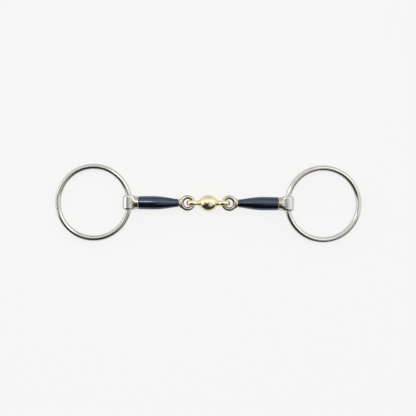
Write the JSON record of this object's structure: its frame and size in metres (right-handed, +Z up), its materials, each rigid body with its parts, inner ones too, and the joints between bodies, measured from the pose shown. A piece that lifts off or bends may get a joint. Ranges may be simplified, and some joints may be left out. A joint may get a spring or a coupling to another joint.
{
  "type": "snaffle bit",
  "caption": "Loose-ring snaffle bit: steel rings, blued mouthpiece sleeves on steel arms, and a brass bead link between them.",
  "frame": {"origin": "on the surface that the bit lies on, under the middle of the bead link", "axes": "+X along the mouthpiece towards the right ring, +Y across it in the plane of the rings, +Z up from the surface"},
  "size_m": [0.2812, 0.071, 0.0125],
  "materials": {
    "ring_steel": "mirror-polished stainless steel",
    "arm_steel": "polished warm-grey steel",
    "blued_iron": "heat-blued iron, polished",
    "link_alloy": "polished pale yellow alloy"
  },
  "bodies": {
    "link": {"lozenge_link": "link_alloy"},
    "left_eye": {"left_eye_ring": "arm_steel"},
    "left_arm": {"left_arm_core": "arm_steel", "left_mouthpiece_sleeve": "blued_iron", "left_end_collar": "arm_steel"},
    "left_barrel": {"left_ring_barrel": "arm_steel"},
    "left_ring": {"left_loose_ring": "ring_steel"},
    "right_eye": {"right_eye_ring": "arm_steel"},
    "right_arm": {"right_arm_core": "arm_steel", "right_mouthpiece_sleeve": "blued_iron", "right_end_collar": "arm_steel"},
    "right_barrel": {"right_ring_barrel": "arm_steel"},
    "right_ring": {"right_loose_ring": "ring_steel"}
  },
  "joints": [
    {"name": "left_eye_tilt", "type": "hinge", "parent": "link", "child": "left_eye", "pos_m": [-0.014, 0, 0.00625], "axis": [0, 1, 0], "range_deg": [-135, 135]},
    {"name": "left_arm_fold", "type": "hinge", "parent": "left_eye", "child": "left_arm", "pos_m": [-0.0189, 0, 0.00625], "axis": [0, 0, -1], "range_deg": [-135, 135]},
    {"name": "left_ring_swing", "type": "hinge", "parent": "left_arm", "child": "left_barrel", "pos_m": [-0.0726, 0, 0.00625], "axis": [0, -1, 0], "range_deg": [-172, 165]},
    {"name": "left_ring_spin", "type": "hinge", "parent": "left_barrel", "child": "left_ring", "pos_m": [-0.10515, 0, 0.00443], "axis": [-0.0557, 0, 0.9984], "continuous": true},
    {"name": "right_eye_tilt", "type": "hinge", "parent": "link", "child": "right_eye", "pos_m": [0.014, 0, 0.00625], "axis": [0, -1, 0], "range_deg": [-135, 135]},
    {"name": "right_arm_fold", "type": "hinge", "parent": "right_eye", "child": "right_arm", "pos_m": [0.0189, 0, 0.00625], "axis": [0, 0, 1], "range_deg": [-135, 135]},
    {"name": "right_ring_swing", "type": "hinge", "parent": "right_arm", "child": "right_barrel", "pos_m": [0.0726, 0, 0.00625], "axis": [0, 1, 0], "range_deg": [-172, 165]},
    {"name": "right_ring_spin", "type": "hinge", "parent": "right_barrel", "child": "right_ring", "pos_m": [0.10515, 0, 0.00443], "axis": [0.0557, 0, 0.9984], "continuous": true}
  ]
}
